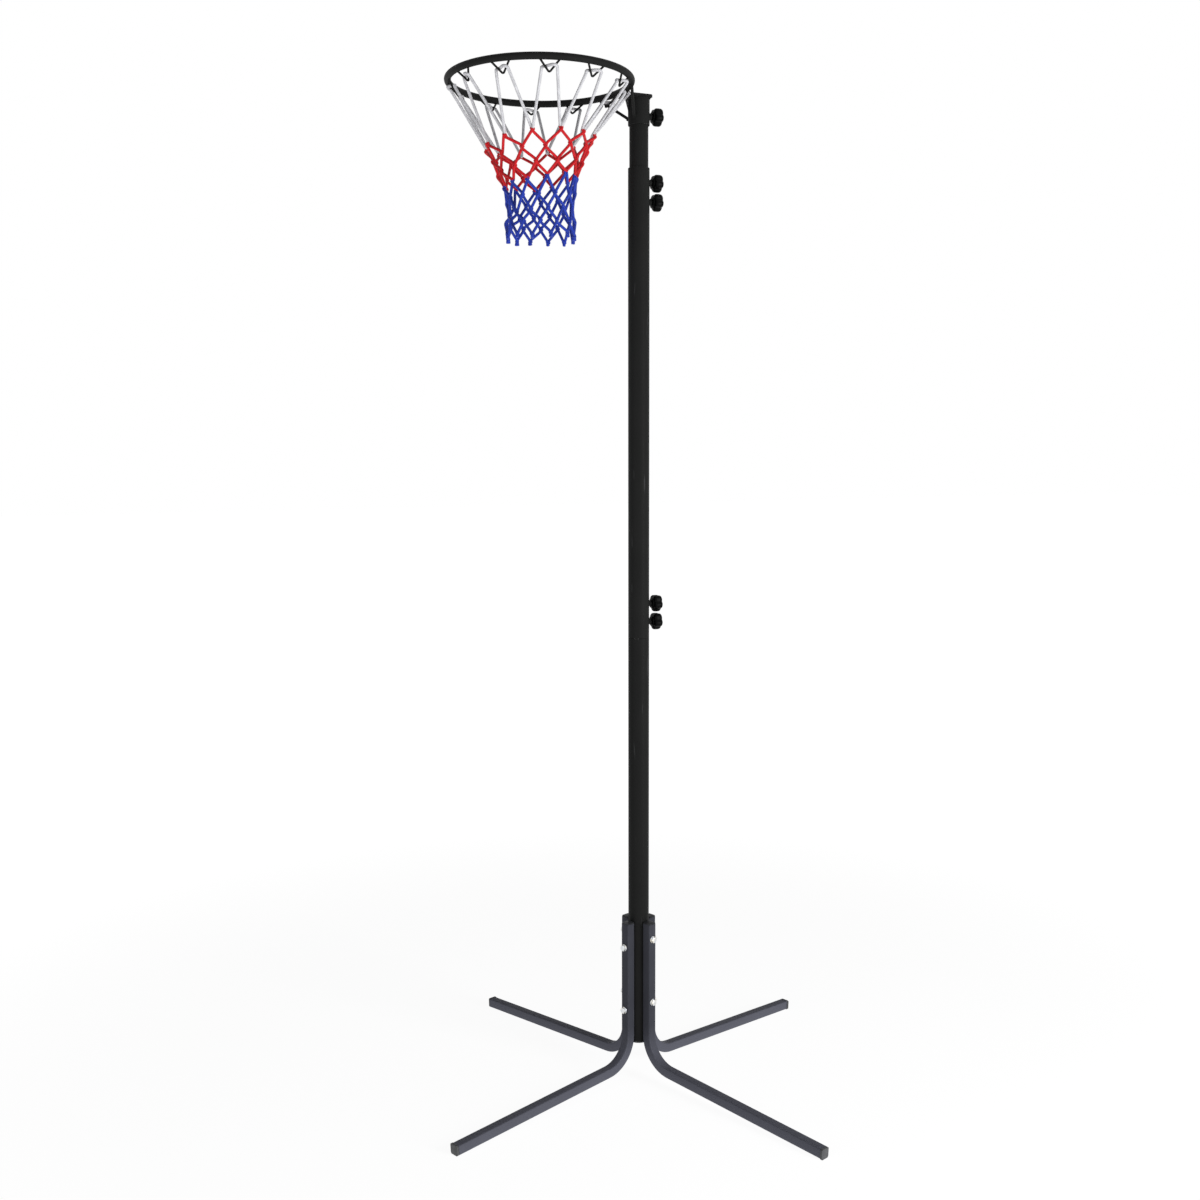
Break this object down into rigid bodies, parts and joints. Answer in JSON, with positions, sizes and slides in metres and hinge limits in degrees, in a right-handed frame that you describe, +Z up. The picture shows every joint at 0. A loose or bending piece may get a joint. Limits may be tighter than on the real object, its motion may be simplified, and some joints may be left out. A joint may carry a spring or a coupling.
{
  "type": "netball post",
  "caption": "Free-standing netball post: telescopic pole on bent square legs, turning ring on a braced collar, wire net hooks and a knotted net.",
  "frame": {"origin": "on the floor, at the pole's axis, which is the middle of the four feet", "axes": "+Z up along the pole, -X towards the ring, +X towards the clamp knobs"},
  "size_m": [1.0538, 1.0538, 2.2848],
  "materials": {
    "pole_paint": "black satin powder coat",
    "leg_paint": "charcoal satin powder coat",
    "zinc": "bright zinc plate",
    "knob_plastic": "black moulded, slight gloss",
    "cap_plastic": "dark grey moulded",
    "cord_white": "braided polyester cord",
    "cord_red": "braided polyester cord",
    "cord_blue": "braided polyester cord"
  },
  "bodies": {
    "base": {"lower_tube": "pole_paint", "middle_tube": "pole_paint", "pole_bottom_plug": "cap_plastic", "leg_front_left": "leg_paint", "leg_front_right": "leg_paint", "leg_back_left": "leg_paint", "leg_back_right": "leg_paint", "foot_cap_front_left": "cap_plastic", "foot_cap_front_right": "cap_plastic", "foot_cap_back_left": "cap_plastic", "foot_cap_back_right": "cap_plastic", "leg_plug_front_left": "cap_plastic", "leg_plug_front_right": "cap_plastic", "leg_plug_back_left": "cap_plastic", "leg_plug_back_right": "cap_plastic", "base_bolt_a1": "zinc", "base_bolt_a2": "zinc", "base_bolt_b1": "zinc", "base_bolt_b2": "zinc", "base_nut_a1": "zinc", "base_nut_a2": "zinc", "base_nut_b1": "zinc", "base_nut_b2": "zinc", "weld_nut_mast_upper": "pole_paint", "weld_nut_mast_lower": "pole_paint", "weld_nut_pole_upper": "pole_paint", "weld_nut_pole_lower": "pole_paint"},
    "mast": {"upper_tube": "pole_paint"},
    "head": {"ring_collar": "pole_paint", "ring_top_plate": "pole_paint", "ring_brace_left": "pole_paint", "ring_brace_right": "pole_paint", "weld_nut_ring": "pole_paint", "ring": "pole_paint", "hook_1": "pole_paint", "hook_2": "pole_paint", "hook_3": "pole_paint", "hook_4": "pole_paint", "hook_5": "pole_paint", "hook_6": "pole_paint", "hook_7": "pole_paint", "hook_8": "pole_paint", "hook_9": "pole_paint", "hook_10": "pole_paint", "hook_11": "pole_paint", "hook_12": "pole_paint", "net_white": "cord_white", "net_red": "cord_red", "net_blue_upper": "cord_blue", "net_blue_lower": "cord_blue"},
    "screw_ring": {"stud_ring": "zinc"},
    "screw_mast_upper": {"stud_mast_upper": "zinc"},
    "screw_mast_lower": {"stud_mast_lower": "zinc"},
    "screw_pole_upper": {"stud_pole_upper": "zinc"},
    "screw_pole_lower": {"stud_pole_lower": "zinc"},
    "grip_ring": {"knob_ring": "knob_plastic"},
    "grip_mast_upper": {"knob_mast_upper": "knob_plastic"},
    "grip_mast_lower": {"knob_mast_lower": "knob_plastic"},
    "grip_pole_upper": {"knob_pole_upper": "knob_plastic"},
    "grip_pole_lower": {"knob_pole_lower": "knob_plastic"}
  },
  "joints": [
    {"name": "mast_slide", "type": "slide", "parent": "base", "child": "mast", "axis": [0, 0, 1], "range_m": [0, 0.77]},
    {"name": "ring_swivel", "type": "hinge", "parent": "mast", "child": "head", "pos_m": [0, 0, 2.24], "axis": [0, 0, 1], "continuous": true},
    {"name": "screw_ring_travel", "type": "slide", "parent": "head", "child": "screw_ring", "axis": [1, 0, 0], "range_m": [0, 0.00375]},
    {"name": "knob_ring_turn", "type": "hinge", "parent": "screw_ring", "child": "grip_ring", "pos_m": [0.04, 0, 2.2276], "axis": [1, 0, 0], "range_deg": [0, 1080]},
    {"name": "screw_mast_upper_travel", "type": "slide", "parent": "base", "child": "screw_mast_upper", "axis": [1, 0, 0], "range_m": [0, 0.00375]},
    {"name": "knob_mast_upper_turn", "type": "hinge", "parent": "screw_mast_upper", "child": "grip_mast_upper", "pos_m": [0.04, 0, 2.0836], "axis": [1, 0, 0], "range_deg": [0, 1080]},
    {"name": "screw_mast_lower_travel", "type": "slide", "parent": "base", "child": "screw_mast_lower", "axis": [1, 0, 0], "range_m": [0, 0.00375]},
    {"name": "knob_mast_lower_turn", "type": "hinge", "parent": "screw_mast_lower", "child": "grip_mast_lower", "pos_m": [0.04, 0, 2.0416], "axis": [1, 0, 0], "range_deg": [0, 1080]},
    {"name": "screw_pole_upper_travel", "type": "slide", "parent": "base", "child": "screw_pole_upper", "axis": [1, 0, 0], "range_m": [0, 0.00375]},
    {"name": "knob_pole_upper_turn", "type": "hinge", "parent": "screw_pole_upper", "child": "grip_pole_upper", "pos_m": [0.04, 0, 1.1351], "axis": [1, 0, 0], "range_deg": [0, 1080]},
    {"name": "screw_pole_lower_travel", "type": "slide", "parent": "base", "child": "screw_pole_lower", "axis": [1, 0, 0], "range_m": [0, 0.00375]},
    {"name": "knob_pole_lower_turn", "type": "hinge", "parent": "screw_pole_lower", "child": "grip_pole_lower", "pos_m": [0.04, 0, 1.0931], "axis": [1, 0, 0], "range_deg": [0, 1080]}
  ],
  "couplings": [
    {"joint": "screw_ring_travel", "follows": "knob_ring_turn", "m_per_rad": 0.00019894},
    {"joint": "screw_mast_upper_travel", "follows": "knob_mast_upper_turn", "m_per_rad": 0.00019894},
    {"joint": "screw_mast_lower_travel", "follows": "knob_mast_lower_turn", "m_per_rad": 0.00019894},
    {"joint": "screw_pole_upper_travel", "follows": "knob_pole_upper_turn", "m_per_rad": 0.00019894},
    {"joint": "screw_pole_lower_travel", "follows": "knob_pole_lower_turn", "m_per_rad": 0.00019894}
  ]
}
